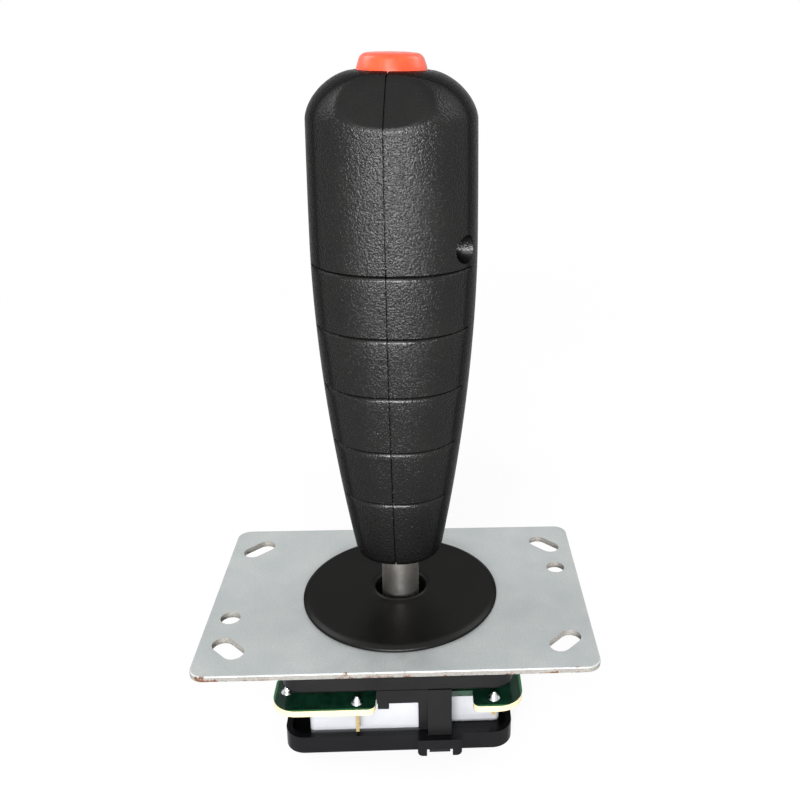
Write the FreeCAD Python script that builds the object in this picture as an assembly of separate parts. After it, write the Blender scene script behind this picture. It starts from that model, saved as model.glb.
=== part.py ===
import FreeCAD, Part
import math
import os

# Arcade flight stick: a moulded grip on a steel lever, over a panel plate and a switch base.
# Millimetres. The origin is on the lever's axis in the plate's top face, +Z is up, and the
# player sits on the -Y side.

V = FreeCAD.Vector
UP = V(0, 0, 1)
ORIGIN = V(0, 0, 0)

os.makedirs("parts", exist_ok=True)

# Mounting plate, a steel blank that screws under the panel
plate_width = 97.0
plate_depth = 65.0
plate_thick = 1.6
plate_corner = 3.5
plate_edge = 0.35
slot_x = 41.0
slot_y = 22.3
slot_long = 9.6
slot_wide = 5.2
small_hole_x = 42.8
small_hole_y = 10.1
small_hole_r = 2.5
plate_screw_offset = 13.2
plate_screw_r = 1.7
plate_screw_head_r = 3.3
plate_screw_long = 8.4
cross_wide = 0.7
cross_deep = 0.8
cross_share = 0.4
screw_room = 0.4

# Pivot, the ball in its socket under the plate
pivot_z = -6.0
ball_r = 7.5
ball_top_flat = 4.0
ball_bottom_flat = 5.5
running_gap = 0.03
press_gap = 0.02
moving_gap = 0.3
tilt_limit_deg = 7.8
diagonal_share = 1.42

# Lever, a turned steel rod with a through bore
shaft_r = 4.8
shaft_lower_r = 3.2
shaft_bore_r = 1.7
shaft_top_z = 64.0
shaft_end_z = -25.4
cross_pin_z = 50.0
cross_pin_r = 1.5
cross_pin_long = 18.0

# Dust washer
washer_r = 25.5
washer_rim = 1.5
washer_hub = 2.4
washer_hole_r = 6.6
washer_lip = 0.7
washer_chamfer = 1.3
washer_edge = 0.6
washer_flare = 1.2
washer_bead = 0.25

# Base body, the black moulding under the plate
body_half = 28.1
body_corner = 5.0
body_bottom_z = -9.2
body_wall = 2.4
body_roof = 2.3
spigot_r = 11.0
spigot_rise = 1.2
spigot_gap = 0.2
socket_boss_r = 13.0
collar_room_r = 9.4
leg_left = 7.1
leg_right = 12.9
leg_thick = 1.8
bridge_left = -5.2
bridge_deep = 3.3
bridge_gap = 0.5
peg_wide = 2.7
peg_long = 1.6
peg_inset = 0.2
leg_root = 0.4
body_edge = 0.8
body_rib = 1.6
body_rib_short = 1.5
post_place = 20.5
post_r = 2.2
boss_clear = 0.3
mouth_clear = 0.1

# Circuit board with one switch on each side
board_half = 30.4
board_thick = 1.6
board_top_z = -12.2
board_corner = 6.0
board_inner_corner = 1.8
board_hole_r = 10.5
notch_left = -5.5
notch_right = 18.1
notch_edge = 24.7

# Base switches, lying flat under the board in a pinwheel
switch_long = 27.8
switch_deep = 15.9
switch_tall = 9.8
switch_back = 25.0
switch_end = 5.8
switch_cover = 2.0
switch_corner = 1.4
switch_hole_pitch = 22.2
switch_hole_inset = 2.8
switch_hole_back = 5.0
switch_hole_r = 1.55
plunger_r = 1.3
plunger_proud = 1.2
plunger_root = 3.4
plunger_travel = 1.0
terminal_wide = 0.8
terminal_thick = 0.5
rear_terminal_x = -10.0
rear_terminal_drop = 7.0
end_terminal_y = 23.2
end_terminal_reach = 5.3
end_terminal_drop = 3.4
rear_terminal_reach = 2.6
solder_r = 1.45
solder_tall = 1.7

# Restrictor gate, the tray that closes the base
gate_half = 28.0
gate_corner = 5.0
gate_wall = 1.5
gate_floor = 3.0
gate_rim = 1.6
gate_square = 6.0
gate_square_corner = 1.2
clip_margin = 2.5
clip_proud = 2.2
clip_gap = 0.25
clip_window = 1.9
hook_inset = 0.35
hook_nose = 0.5
hook_play = 0.15
hook_short = 0.2

# Centring parts on the lower lever
collar_r = 7.6
collar_hole_r = 4.6
collar_top = 4.3
collar_bottom = 7.8
spring_mean_r = 5.0
spring_wire_r = 0.5
spring_turns = 4.0
spring_gap = 0.05
actuator_r = 7.0
actuator_top_z = -15.4
actuator_ring_z = -19.9
actuator_bottom_z = -21.8
actuator_foot_r = 5.4
actuator_wall = 1.0
actuator_floor = 1.6
actuator_hub_r = 4.0
clip_ring_r = 5.0
clip_ring_thick = 0.6
clip_groove_r = 2.6

# Board connector at the rear
connector_x = 19.0
connector_pins = 5
connector_pitch = 2.5
connector_wall = 0.8
connector_deep = 6.2
connector_tall = 4.6
connector_overhang = 1.6
pin_side = 0.64
pin_long = 3.7

# Grip, two moulded halves that meet at the middle plane
grip_twist_deg = -4.0
grip_bottom_z = 14.0
grip_top_z = 134.1
grip_wide_z = 96.0
grip_half = 19.5
grip_foot_less = 8.8
grip_taper_power = 1.8
grip_head_less = 0.35
grip_shoulder_round = 9.6
grip_foot_round = 2.2
grip_sections = 5
section_points = 12
grip_square = 2.3
grip_wall = 2.4
facet_z = 122.8
facet_slope_deg = 54.0
seam_wide = 0.36
line_deep = 0.6
groove_tall = 0.9
groove_first_z = 33.6
groove_pitch = 14.5
groove_count = 5
groove_end = 8.2
web_thick = 2.4
web_levels = (18.5, 33.0, 50.0, 61.0)
grip_screws_at = ((-10.6, 96.0), (13.2, 124.6), (9.8, 70.0), (8.7, 27.0))
grip_screw_r = 1.4
grip_screw_head_r = 2.75
grip_screw_head = 2.0
grip_screw_long = 16.0
grip_screw_recess = 3.2
grip_recess_r = 3.25
boss_wall = 1.5
recess_wall = 1.1
seat_gap = 0.1
grip_screw_edge = 0.7
grip_cross_share = 0.6
grip_cross_deep = 0.9

# Thumb button on top
button_r = 8.05
button_gap = 0.3
button_top_z = 138.0
button_lean = 1.15
button_crown = 0.4
button_round = 1.3
stem_gap = 0.6
button_flange_r = 9.3
button_flange = 1.6
button_wall = 1.6
button_travel = 2.5
button_stem_r = 1.9
button_spring_r = 4.2
button_spring_wire_r = 0.3
button_spring_turns = 4.0
shelf_z = 125.4
shelf_thick = 1.6

# Switches inside the grip
small_switch_long = 20.0
small_switch_tall = 10.0
small_switch_thick = 6.4
small_switch_pitch = 9.5
small_switch_hole_r = 1.2
small_switch_hole_up = 2.8
small_switch_corner = 0.8
small_plunger_r = 0.9
small_plunger_root = 3.0
small_plunger_travel = 1.0
small_blade_wide = 3.2
small_blade_thick = 0.5
small_blade_long = 3.8
top_switch_low = 7.4
top_switch_z = 122.0
top_plunger_proud = 0.9
trigger_switch_y = 9.0
trigger_switch_low_z = 84.0
trigger_plunger_z = 98.0
trigger_plunger_proud = 1.6

# Trigger on the far side of the grip
trigger_pivot_y = 13.0
trigger_pivot_z = 115.0
trigger_pin_r = 1.5
trigger_pin_long = 17.0
trigger_hub_r = 3.4
trigger_half = 4.5
trigger_blade_thick = 3.4
trigger_toe_y = 26.0
trigger_toe_z = 95.0
trigger_pull_deg = 7.0
trigger_face_y = 20.6
trigger_slot_gap = 0.3
trigger_play = 0.5
trigger_slot_top = 119.2
trigger_slot_bottom = 93.3

# Derived levels
plate_under_z = -plate_thick
board_under_z = board_top_z - board_thick
switch_low_z = board_under_z - switch_tall
case_low_z = switch_low_z + switch_cover
gate_floor_z = switch_low_z
gate_low_z = gate_floor_z - gate_floor
gate_rim_z = gate_floor_z + gate_rim
switch_face = switch_back - switch_deep
plunger_z = board_under_z - switch_tall / 2
plunger_tip = switch_face - plunger_proud
pivot = V(0, 0, pivot_z)
ball_seat_z = pivot_z + ball_top_flat
clip_left = leg_left - clip_margin
clip_right = leg_right + clip_margin
leg_front = body_half + 0.2
leg_back = leg_front - leg_thick
small_case_half = small_switch_thick / 2


def box(x0, x1, y0, y1, z0, z1):
    """A block between two corners."""
    return Part.makeBox(x1 - x0, y1 - y0, z1 - z0, V(x0, y0, z0))


def rod(radius, z0, z1, x=0.0, y=0.0):
    """An upright cylinder."""
    return Part.makeCylinder(radius, z1 - z0, V(x, y, z0), UP)


def rod_x(radius, x0, x1, y, z):
    """A cylinder along X."""
    return Part.makeCylinder(radius, x1 - x0, V(x0, y, z), V(1, 0, 0))


def rod_y(radius, y0, y1, x, z):
    """A cylinder along Y."""
    return Part.makeCylinder(radius, y1 - y0, V(x, y0, z), V(0, 1, 0))


def rounded_slab(half_x, half_y, corner, z0, z1):
    """A slab about the axis with rounded upright corners."""
    slab = box(-half_x, half_x, -half_y, half_y, z0, z1)
    upright = [e for e in slab.Edges if abs(e.BoundBox.ZLength - (z1 - z0)) < 1e-6]
    return slab.makeFillet(corner, upright)


def turned(profile):
    """A solid turned about Z from (radius, height) points."""
    points = [V(r, 0, z) for r, z in profile]
    face = Part.Face(Part.makePolygon(points + [points[0]]))
    return face.revolve(ORIGIN, UP, 360)


def quarter(shape, step):
    """A copy turned by a number of quarter turns about the axis."""
    copy = shape.copy()
    copy.rotate(ORIGIN, UP, 90 * step)
    return copy


def twisted(shape):
    """A grip piece turned to where the grip stands on the lever."""
    copy = shape.copy()
    copy.rotate(ORIGIN, UP, grip_twist_deg)
    return copy


def slab_between(z0, z1):
    """A layer wider than the grip, to pick out a level of it."""
    reach = 2 * grip_half
    return box(-reach, reach, -reach, reach, z0, z1)


def coil(mean_r, wire_r, turns, z0, z1):
    """An open round-wire spring between two levels, made of tilted half turns."""
    halves = round(2 * turns)
    rise = (z1 - z0 - 2 * wire_r) / halves
    ring_r = math.hypot(mean_r, rise / 2)
    lean = math.degrees(math.atan2(rise / 2, mean_r))
    pieces = []
    for k in range(halves):
        half = Part.makeTorus(ring_r, wire_r, ORIGIN, UP, 0, 360, 180)
        half.rotate(ORIGIN, UP, 180 * (k % 2))
        half.rotate(ORIGIN, V(0, 1, 0), lean * (-1) ** k)
        half.translate(V(0, 0, z0 + wire_r + (k + 0.5) * rise))
        pieces.append(half)
    return pieces[0].fuse(pieces[1:])


def save(name, shape):
    """Writes one piece and prints its size."""
    shape.exportStep("parts/" + name + ".step")
    print(name, len(shape.Solids), round(shape.Volume, 1), shape.isValid())


# Mounting plate

def stadium(x, y, angle_deg):
    """A slot's cutter through the plate."""
    straight = (slot_long - slot_wide) / 2
    low = plate_under_z - 1
    cutter = box(-straight, straight, -slot_wide / 2, slot_wide / 2, low, 1)
    cutter = cutter.fuse([rod(slot_wide / 2, low, 1, -straight), rod(slot_wide / 2, low, 1, straight)])
    cutter.rotate(ORIGIN, UP, angle_deg)
    cutter.translate(V(x, y, 0))
    return cutter


def screw_places():
    """Where the four plate screws go through."""
    return [(i * plate_screw_offset, j * plate_screw_offset) for i in (-1, 1) for j in (-1, 1)]


def mounting_plate():
    plate = rounded_slab(plate_width / 2, plate_depth / 2, plate_corner, plate_under_z, 0)
    outline = [e for e in plate.Edges if e.BoundBox.ZLength < 1e-6]
    plate = plate.makeFillet(plate_edge, outline)
    cutters = [rod(spigot_r + spigot_gap, plate_under_z - 1, 1)]
    for i in (-1, 1):
        for j in (-1, 1):
            cutters.append(stadium(i * slot_x, j * slot_y, -45 * i * j))
    cutters.append(rod(small_hole_r, plate_under_z - 1, 1, -small_hole_x, -small_hole_y))
    cutters.append(rod(small_hole_r, plate_under_z - 1, 1, small_hole_x, small_hole_y))
    for x, y in screw_places():
        sink = Part.makeCone(plate_screw_r, plate_screw_head_r, plate_thick, V(x, y, plate_under_z), UP)
        cutters.append(sink)
    return plate.cut(cutters)


def plate_screws():
    screws = []
    for x, y in screw_places():
        head = Part.makeCone(plate_screw_r, plate_screw_head_r, plate_thick, V(x, y, plate_under_z), UP)
        reach = cross_share * plate_screw_head_r
        w = cross_wide / 2
        cross = box(x - reach, x + reach, y - w, y + w, -cross_deep, 1)
        cross = cross.fuse(box(x - w, x + w, y - reach, y + reach, -cross_deep, 1))
        shank = rod(plate_screw_r, -plate_screw_long, plate_under_z, x, y)
        screws.append(head.fuse(shank).cut(cross))
    return Part.makeCompound(screws)


def dust_washer():
    """A thin disc with a sloping rim and a raised lip round its hole."""
    hub = washer_hole_r + washer_lip
    bead = washer_bead
    profile = [(washer_hole_r, 0), (washer_r, 0), (washer_r, washer_edge)]
    profile += [(washer_r - washer_chamfer, washer_rim), (hub + washer_flare, washer_hub - 2 * bead)]
    profile += [(hub, washer_hub - bead), (hub - bead, washer_hub), (washer_hole_r + bead, washer_hub)]
    profile += [(washer_hole_r, washer_hub - bead)]
    return turned(profile)


# Base body

def body_leg():
    """One side's bridge, locating peg and clip leg, on the -Y side."""
    foot_z = gate_low_z + hook_nose
    hook_z = gate_low_z + clip_window - hook_play
    root_z = body_bottom_z + leg_root
    bridge_z = body_bottom_z - bridge_deep
    back = -(notch_edge + bridge_gap)
    peg_left = bridge_left + peg_inset
    bridge = box(bridge_left, leg_right, -body_half, back, bridge_z, root_z)
    peg = box(peg_left, peg_left + peg_wide, -body_half, back, bridge_z - peg_long, root_z)
    leg = box(leg_left, leg_right, -leg_front, -leg_back, hook_z, root_z)
    toe = box(leg_left + hook_inset, leg_right - hook_inset, -leg_front, -leg_back, foot_z, hook_z)
    hook_y = -(gate_half + clip_proud - hook_short)
    side = [V(0, -leg_front, foot_z), V(0, hook_y + hook_nose, foot_z)]
    side += [V(0, hook_y, foot_z + hook_nose), V(0, hook_y, hook_z), V(0, -leg_front, hook_z)]
    hook_wide = leg_right - leg_left - 2 * hook_inset
    hook = Part.Face(Part.makePolygon(side + [side[0]])).extrude(V(hook_wide, 0, 0))
    hook.translate(V(leg_left + hook_inset, 0, 0))
    rib_y = -(leg_back + mouth_clear)
    rib = box(clip_left + peg_inset, leg_left, rib_y, back, gate_rim_z + peg_inset, root_z)
    return bridge.fuse([peg, leg, toe, hook, rib])


def lever_room():
    """How wide the body's mouth is, so that the lever clears it at the diagonal limit."""
    lean = math.radians(diagonal_share * tilt_limit_deg)
    return shaft_r / math.cos(lean) - pivot_z * math.tan(lean) + mouth_clear


def base_body():
    block = rounded_slab(body_half, body_half, body_corner, body_bottom_z, plate_under_z)
    lower = [e for e in block.Edges if abs(e.BoundBox.ZMax - body_bottom_z) < 1e-6]
    block = block.makeFillet(body_edge, lower)
    inner = body_half - body_wall
    roof_z = plate_under_z - body_roof
    hollow = rounded_slab(inner, inner, body_corner - body_wall, body_bottom_z - 1, roof_z)
    keep = [rod(socket_boss_r, body_bottom_z - 1, plate_under_z)]
    for x, y in screw_places():
        keep.append(rod(plate_screw_r + body_wall, body_bottom_z - 1, plate_under_z, x, y))
    rib = box(-inner, inner, -body_rib / 2, body_rib / 2, body_bottom_z + body_rib_short, plate_under_z)
    keep += [rib, quarter(rib, 1)]
    block = block.cut(hollow.cut(keep))
    added = [rod(socket_boss_r, board_top_z + boss_clear, plate_under_z)]
    added.append(rod(spigot_r, plate_under_z, plate_under_z + spigot_rise))
    post = rod(post_r, board_top_z, plate_under_z, post_place, post_place)
    for step in range(4):
        added += [quarter(post, step), quarter(body_leg(), step)]
    block = block.fuse(added)
    cutters = [Part.makeSphere(ball_r + running_gap, pivot), rod(ball_r + running_gap, pivot_z - 1, pivot_z)]
    cutters.append(rod(lever_room(), pivot_z, 1))
    cutters.append(rod(collar_room_r, board_top_z - 1, pivot_z - 1))
    for x, y in screw_places():
        cutters.append(rod(plate_screw_r + press_gap, -plate_screw_long - screw_room, 1, x, y))
    return block.cut(cutters)


# Board, connector and switches

def switch_board():
    board = rounded_slab(board_half, board_half, board_corner, board_under_z, board_top_z)
    for step in range(4):
        low, high = board_under_z - 1, board_top_z + 1
        notch = box(notch_left, notch_right, -board_half - 1, -notch_edge, low, high)
        board = board.cut(quarter(notch, step))
    mouth = []
    for e in board.Edges:
        middle = e.CenterOfMass
        upright = abs(e.BoundBox.ZLength - board_thick) < 1e-6 and e.BoundBox.XLength < 1e-6
        outer = max(abs(middle.x), abs(middle.y)) > board_half - 0.01
        inner = min(abs(middle.x), abs(middle.y)) < notch_right + 0.1
        if upright and outer and inner:
            mouth.append(e)
    board = board.makeFillet(board_inner_corner, mouth)
    return board.cut(rod(board_hole_r, board_under_z - 1, board_top_z + 1)).cut(terminal_holes())


def terminal_feet():
    """Where the front switch's two terminals meet the board."""
    end_x = -(switch_long - switch_end) - end_terminal_reach
    return [(rear_terminal_x, -(switch_back + rear_terminal_reach)), (end_x, -end_terminal_y)]


def terminal_holes():
    low = board_under_z - 1
    pin = max(terminal_wide, terminal_thick) / 2 + 0.15
    holes = []
    for step in range(4):
        for x, y in terminal_feet():
            holes.append(quarter(rod(pin, low, board_top_z + 1, x, y), step))
    return holes


def switch_block(z0, z1):
    """The front switch's outline between two levels, with its mounting holes."""
    left = switch_end - switch_long
    block = box(left, switch_end, -switch_back, -switch_face, z0, z1)
    upright = [e for e in block.Edges if abs(e.BoundBox.ZLength - (z1 - z0)) < 1e-6]
    block = block.makeFillet(switch_corner, upright)
    return block.cut([rod(switch_hole_r, z0 - 1, z1 + 1, x, y) for x, y in switch_holes()])


def switch_holes():
    right = switch_end - switch_hole_inset
    y = switch_hole_back - switch_back
    return [(right, y), (right - switch_hole_pitch, y)]


def switch_case():
    case = switch_block(case_low_z, board_under_z)
    deep = plunger_proud + plunger_root + plunger_travel
    return case.cut(rod_y(plunger_r + 2 * running_gap, plunger_tip_y() - deep, 0, 0, plunger_z))


def plunger_tip_y():
    return -plunger_tip


def switch_plunger():
    """The front switch's plunger, with a domed tip towards the lever."""
    tip = plunger_tip_y()
    body = rod_y(plunger_r, tip - plunger_proud - plunger_root, tip - 0.9, 0, plunger_z)
    dome = Part.makeSphere(1.5 * plunger_r, V(0, tip - 1.5 * plunger_r, plunger_z))
    nose = rod_y(plunger_r, tip - 0.9, tip, 0, plunger_z).common(dome)
    return body.fuse(nose)


def switch_terminals():
    (rear_x, rear_y), (end_x, end_y) = terminal_feet()
    half = terminal_wide / 2
    thin = terminal_thick / 2
    rear_low = board_under_z - rear_terminal_drop
    end_low = board_under_z - end_terminal_drop
    rear = box(rear_x - half, rear_x + half, rear_y - thin, rear_y + thin, rear_low, board_top_z)
    rear_high = rear_low + terminal_thick
    rear = rear.fuse(box(rear_x - half, rear_x + half, rear_y - thin, -switch_back, rear_low, rear_high))
    end = box(end_x - thin, end_x + thin, end_y - half, end_y + half, end_low, board_top_z)
    foot_x = switch_end - switch_long
    foot = box(end_x - thin, foot_x, end_y - half, end_y + half, end_low, end_low + terminal_thick)
    strips = [rear, end.fuse(foot)]
    return Part.makeCompound([quarter(s, step) for step in range(4) for s in strips])


def solder_joints():
    cones = []
    profile = [(0, 0), (solder_r, 0), (0.62 * solder_r, 0.35 * solder_tall)]
    profile += [(0.35 * solder_r, 0.8 * solder_tall), (0.2 * solder_r, solder_tall), (0, solder_tall)]
    cone = turned(profile)
    for x, y in terminal_feet():
        foot = cone.copy()
        foot.translate(V(x, y, board_top_z))
        cones += [quarter(foot, step) for step in range(4)]
    return Part.makeCompound(cones)


def connector_span():
    half = ((connector_pins - 1) * connector_pitch + 2.8) / 2
    back = board_half + connector_overhang - connector_deep
    return connector_x - half, connector_x + half, back, back + connector_deep


def board_connector():
    x0, x1, y0, y1 = connector_span()
    w = connector_wall
    low = board_under_z - connector_tall
    shroud = box(x0, x1, y0, y1, low, board_under_z)
    hollow = box(x0 + w, x1 - w, y0 + 2 * w, y1 + 1, low + w, board_under_z - w)
    keyway = box(connector_x - 2, connector_x + 2, y1 - 3, y1 + 1, low - 1, low + 2 * w)
    return shroud.cut([hollow, keyway])


def connector_pin_row():
    x0, x1, y0, y1 = connector_span()
    pin_z = board_under_z - connector_tall / 2
    root = y0 + 2 * connector_wall
    first = connector_x - (connector_pins - 1) * connector_pitch / 2
    h = pin_side / 2
    pins = []
    for k in range(connector_pins):
        x = first + k * connector_pitch
        pins.append(box(x - h, x + h, root, root + pin_long, pin_z - h, pin_z + h))
    return Part.makeCompound(pins)


# Restrictor gate

def gate_clip():
    """The loop on the -Y side that the clip leg snaps through."""
    front = -(gate_half + clip_proud)
    loop = box(clip_left, clip_right, front, -gate_half + 1, gate_low_z, gate_rim_z)
    corners = [e for e in loop.Edges if e.BoundBox.YLength > 2 and e.BoundBox.ZLength < 1e-6]
    corners = [e for e in corners if e.BoundBox.ZMax < gate_low_z + 1e-6 and e.BoundBox.XLength < 1e-6]
    return loop.makeFillet(1.3, corners)


def gate_cutters():
    """Room for the leg and its hook in the loop and the tray wall."""
    left = leg_left - clip_gap
    right = leg_right + clip_gap
    front, back = -(leg_front + clip_gap), -(leg_back - clip_gap)
    leg_room = box(left, right, front, back, gate_low_z - 1, gate_rim_z + 1)
    front = -(gate_half + clip_proud) - 1
    hook_room = box(left, right, front, -leg_back, gate_low_z - 1, gate_low_z + clip_window)
    return [leg_room, hook_room]


def restrictor_gate():
    tray = rounded_slab(gate_half, gate_half, gate_corner, gate_low_z, gate_rim_z)
    inner = gate_half - gate_wall
    pocket = rounded_slab(inner, inner, gate_corner - gate_wall, gate_floor_z, gate_rim_z + 1)
    window = rounded_slab(gate_square, gate_square, gate_square_corner, gate_low_z - 1, gate_floor_z + 1)
    tray = tray.cut([pocket, window])
    tray = tray.fuse([quarter(gate_clip(), step) for step in range(4)])
    cuts = []
    posts = []
    for step in range(4):
        cuts += [quarter(c, step) for c in gate_cutters()]
        for x, y in switch_holes():
            post = rod(switch_hole_r - 0.05, gate_floor_z - 0.5, gate_floor_z + 3.5, x, y)
            posts.append(quarter(post, step))
    return tray.cut(cuts).fuse(posts)


# Lever and its centring parts

def lever_shaft():
    top = shaft_top_z
    clip_top = actuator_bottom_z - 0.1
    clip_low = clip_top - clip_ring_thick - 0.1
    profile = [(shaft_bore_r, shaft_end_z), (shaft_lower_r - 0.5, shaft_end_z)]
    profile.append((shaft_lower_r, shaft_end_z + 0.5))
    profile += [(shaft_lower_r, clip_low), (clip_groove_r, clip_low), (clip_groove_r, clip_top)]
    profile += [(shaft_lower_r, clip_top), (shaft_lower_r, ball_seat_z), (shaft_r, ball_seat_z)]
    profile += [(shaft_r, top - 0.8), (shaft_r - 0.8, top), (shaft_bore_r, top)]
    shaft = turned(profile)
    return shaft.cut(rod_x(cross_pin_r + press_gap, -9, 9, 0, cross_pin_z))


def pivot_ball():
    ball = Part.makeSphere(ball_r, pivot)
    keep = rod(ball_r + 1, pivot_z - ball_bottom_flat, ball_seat_z)
    return ball.common(keep).cut(rod(shaft_lower_r + press_gap, -20, 1))


def spring_collar():
    cup = rod(collar_r, pivot_z - collar_bottom, pivot_z - collar_top)
    seat = Part.makeSphere(ball_r + moving_gap, pivot)
    bore = rod(collar_hole_r, pivot_z - collar_bottom - 1, pivot_z)
    return cup.cut([seat, bore])


def spring_low_z():
    return actuator_bottom_z + actuator_floor


def centring_spring():
    low = spring_low_z() + spring_gap
    high = pivot_z - collar_bottom - spring_gap
    return coil(spring_mean_r, spring_wire_r, spring_turns, low, high)


def actuator():
    bore = shaft_lower_r + press_gap
    floor = spring_low_z()
    profile = [(bore, actuator_bottom_z), (actuator_foot_r, actuator_bottom_z)]
    profile.append((actuator_r, actuator_ring_z))
    profile += [(actuator_r, actuator_top_z + 0.4), (actuator_r - 0.4, actuator_top_z)]
    profile += [(actuator_r - actuator_wall, actuator_top_z), (actuator_r - actuator_wall, floor)]
    hub_z = actuator_top_z - 1.5
    profile += [(actuator_hub_r, floor), (actuator_hub_r, hub_z), (bore, hub_z)]
    return turned(profile)


def retaining_clip():
    top = actuator_bottom_z - 0.1
    low = top - clip_ring_thick
    ring = rod(clip_ring_r, low, top).cut(rod(clip_ring_r - 1.1, low - 1, top + 1))
    for angle in (90, 210, 330):
        tooth = box(clip_groove_r + press_gap, clip_ring_r - 0.5, -0.9, 0.9, low, top)
        tooth.rotate(ORIGIN, UP, angle)
        ring = ring.fuse(tooth)
    gap = box(-2.2, 2.2, -clip_ring_r - 1, 0, low - 1, top + 1)
    gap.rotate(ORIGIN, UP, 270)
    core = rod(clip_groove_r + press_gap, low - 1, top + 1)
    return ring.cut([gap, core])


# Grip form

def taper(z):
    """The grip's half width at a height below its shoulder."""
    if z >= grip_wide_z:
        rise = (z - grip_wide_z) / (grip_top_z - grip_wide_z)
        return grip_half - grip_head_less * rise * rise
    drop = (grip_wide_z - z) / (grip_wide_z - grip_bottom_z)
    return grip_half - grip_foot_less * drop ** grip_taper_power


def half_width(z):
    """The grip's half width at any height, with its shoulder and foot rounding."""
    shoulder_z = grip_top_z - grip_shoulder_round
    if z > shoulder_z:
        up = (z - shoulder_z) / grip_shoulder_round
        return taper(z) - grip_shoulder_round * (1 - math.sqrt(max(0.0, 1 - up * up)))
    if z < grip_bottom_z + grip_foot_round:
        down = 1 - (z - grip_bottom_z) / grip_foot_round
        return taper(z) - grip_foot_round * (1 - math.sqrt(max(0.0, 1 - down * down)))
    return taper(z)


def reach_at(angle, half):
    """How far a rounded square of that half width reaches in one direction."""
    spread = abs(math.cos(angle)) ** grip_square + abs(math.sin(angle)) ** grip_square
    return half / spread ** (1 / grip_square)


def section(half, z):
    """A closed rounded-square curve at one height."""
    points = []
    for k in range(section_points):
        angle = 2 * math.pi * k / section_points - math.pi / 2
        reach = reach_at(angle, half)
        points.append(V(reach * math.cos(angle), reach * math.sin(angle), z))
    curve = Part.BSplineCurve()
    curve.interpolate(Points=points, PeriodicFlag=True)
    return Part.Wire(curve.toShape())


def facet_tool(inset):
    """The half space in front of the thumb facet, moved inwards by an inset."""
    slope = math.radians(facet_slope_deg)
    reach = 3 * grip_half
    normal = V(0, -math.sin(slope), math.cos(slope))
    along = V(0, math.cos(slope), math.sin(slope))
    start = V(-reach, -half_width(facet_z), facet_z) - normal * inset
    corners = [start + along * reach, start - along * reach]
    corners += [start - along * reach + normal * reach, start + along * reach + normal * reach]
    side = Part.Face(Part.makePolygon(corners + [corners[0]]))
    return side.extrude(V(2 * reach, 0, 0))


def grip_form(inset):
    """The grip's outer form, or one drawn in by an inset."""
    low = grip_bottom_z + inset
    high = grip_top_z - inset
    wires = []
    for k in range(grip_sections):
        z = low + (high - low) * k / (grip_sections - 1)
        wires.append(section(taper(z) - inset, z))
    form = Part.makeLoft(wires, True, False)
    top = [e for e in form.Edges if e.BoundBox.ZMin > high - 1e-3]
    form = form.makeFillet(grip_shoulder_round - inset, top)
    if inset < grip_foot_round:
        foot = [e for e in form.Edges if e.BoundBox.ZMax < low + 1e-3]
        form = form.makeFillet(grip_foot_round - inset, foot)
    return form.cut(facet_tool(inset))


def flank_x(y, z):
    """How far the grip's flank stands from the seam at a screw."""
    half = half_width(z)
    return half * (1 - (abs(y) / half) ** grip_square) ** (1 / grip_square)


def screw_seat_x(y, z):
    return flank_x(y, z) - grip_screw_recess - grip_screw_head


def line_tools():
    """Cutters for the seam and for the grip lines on each face, all to one depth."""
    core = grip_form(line_deep)
    reach = 2 * grip_half
    tools = [box(-seam_wide / 2, seam_wide / 2, -reach, reach, 0, 2 * grip_top_z)]
    for k in range(groove_count):
        z = groove_first_z + k * groove_pitch
        for side in (-1, 1):
            y0, y1 = sorted((side * groove_end, side * reach))
            tools.append(box(-reach, reach, y0, y1, z - groove_tall / 2, z + groove_tall / 2))
    return [tool.cut(core) for tool in tools]


def grip_cavity():
    """The hollow inside the grip, less its webs, its spring shelf and its bosses."""
    keep = [slab_between(z, z + web_thick) for z in web_levels]
    keep.append(slab_between(shelf_z - shelf_thick, shelf_z))
    reach = 2 * grip_half
    for y, z in grip_screws_at:
        seat = screw_seat_x(y, z)
        keep.append(rod_x(grip_screw_r + boss_wall, -reach, reach, y, z))
        keep.append(rod_x(grip_recess_r + recess_wall, seat - boss_wall, reach, y, z))
    for side in (-1, 1):
        x0, x1 = sorted((side * (trigger_half + trigger_play), side * reach))
        keep.append(rod_x(trigger_pin_r + boss_wall, x0, x1, trigger_pivot_y, trigger_pivot_z))
        x0, x1 = sorted((side * (small_case_half + seat_gap), side * reach))
        for y, z in small_switch_holes():
            keep.append(rod_x(small_switch_hole_r + recess_wall, x0, x1, y, z))
    return grip_form(grip_wall).cut(keep)


def small_switch_holes():
    """Where pegs hold the two small switches."""
    top_y = top_switch_low - small_switch_long / 2
    hole_z = top_switch_z - small_switch_tall + small_switch_hole_up
    low_z = trigger_switch_low_z + small_switch_long / 2
    hole_y = trigger_switch_y - small_switch_tall + small_switch_hole_up
    half = small_switch_pitch / 2
    return [(top_y - half, hole_z), (top_y + half, hole_z), (hole_y, low_z - half), (hole_y, low_z + half)]


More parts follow.
